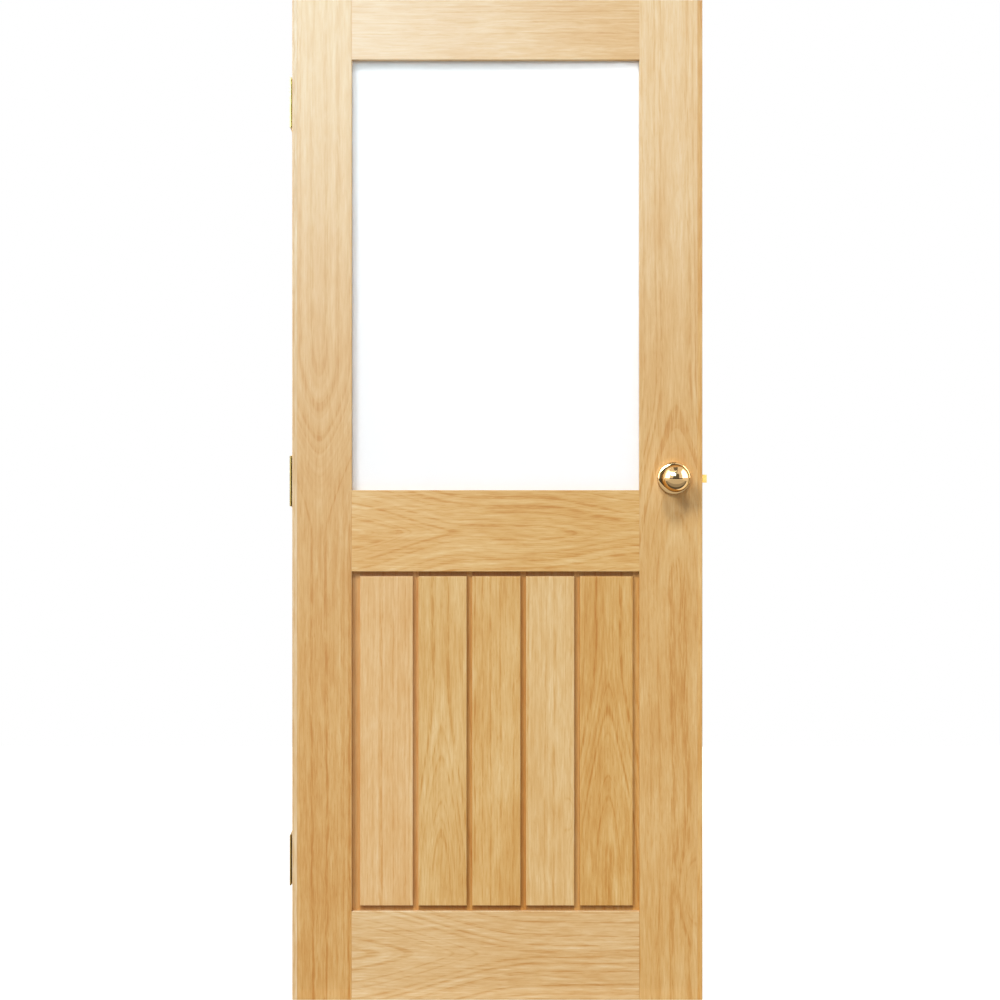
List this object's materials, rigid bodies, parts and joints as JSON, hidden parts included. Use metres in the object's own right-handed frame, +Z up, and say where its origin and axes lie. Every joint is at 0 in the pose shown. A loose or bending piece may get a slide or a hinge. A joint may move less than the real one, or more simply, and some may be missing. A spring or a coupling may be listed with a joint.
{
  "type": "oak door",
  "caption": "Hinged oak door leaf with an obscured glass pane above a panel of raised vertical boards, sprung latch and brass ball knobs.",
  "frame": {"origin": "middle of the leaf's bottom edge, halfway through its thickness", "axes": "+X towards the lock edge, +Y from the front face to the back face, +Z up"},
  "size_m": [0.8305, 0.163, 1.981],
  "materials": {
    "oak_frame": "clear lacquered pale oak",
    "oak_boards": "clear lacquered golden oak",
    "beech_dowel": "plain beech",
    "white_glass": "white obscured glass",
    "glazing_tape": "pale foam tape",
    "polished_brass": "polished and lacquered",
    "satin_brass": "satin",
    "zinc_steel": "zinc plated"
  },
  "bodies": {
    "hinge_frame_side": {"top_frame_flap": "satin_brass", "middle_frame_flap": "satin_brass", "bottom_frame_flap": "satin_brass", "top_hinge_pin": "satin_brass", "middle_hinge_pin": "satin_brass", "bottom_hinge_pin": "satin_brass"},
    "leaf": {"hinge_stile": "oak_frame", "lock_stile": "oak_frame", "hinge_lipping": "oak_frame", "lock_lipping": "oak_frame", "top_rail": "oak_frame", "lock_rail": "oak_frame", "bottom_rail": "oak_frame", "top_rail_dowels": "beech_dowel", "lock_rail_dowels": "beech_dowel", "bottom_rail_dowels": "beech_dowel", "panel_board_1": "oak_boards", "panel_board_2": "oak_boards", "panel_board_3": "oak_boards", "panel_board_4": "oak_boards", "panel_board_5": "oak_boards", "glass_pane": "white_glass", "front_glazing_tape": "glazing_tape", "back_glazing_tape": "glazing_tape", "setting_blocks": "glazing_tape", "top_bead": "oak_frame", "bottom_bead": "oak_frame", "hinge_side_bead": "oak_frame", "lock_side_bead": "oak_frame", "bead_pins": "zinc_steel", "front_rose": "polished_brass", "back_rose": "polished_brass", "front_rose_plate": "zinc_steel", "back_rose_plate": "zinc_steel", "rose_screws": "zinc_steel", "latch_case": "zinc_steel", "latch_cover": "zinc_steel", "latch_rivets": "zinc_steel", "latch_forend": "satin_brass", "forend_screws": "satin_brass", "top_door_flap": "satin_brass", "middle_door_flap": "satin_brass", "bottom_door_flap": "satin_brass", "door_flap_screws": "satin_brass"},
    "knob_set": {"front_knob": "polished_brass", "back_knob": "polished_brass", "spindle": "zinc_steel", "knob_grub_screws": "zinc_steel", "latch_follower": "zinc_steel"},
    "bolt": {"latch_bolt": "satin_brass", "latch_spring": "zinc_steel"}
  },
  "joints": [
    {"name": "door_swing", "type": "hinge", "parent": "hinge_frame_side", "child": "leaf", "pos_m": [-0.408, 0.0235, 0], "axis": [0, 0, 1], "range_deg": [0, 120]},
    {"name": "knob_turn", "type": "hinge", "parent": "leaf", "child": "knob_set", "pos_m": [0.3495, 0, 1.033], "axis": [0, 1, 0], "range_deg": [0, 45]},
    {"name": "latch_slide", "type": "slide", "parent": "leaf", "child": "bolt", "axis": [1, 0, 0], "range_m": [-0.011, 0], "stiffness_N_per_m": 400, "springref_m": 0.002, "deforming": ["latch_spring"]}
  ],
  "couplings": [
    {"joint": "latch_slide", "follows": "knob_turn", "m_per_rad": -0.014}
  ]
}
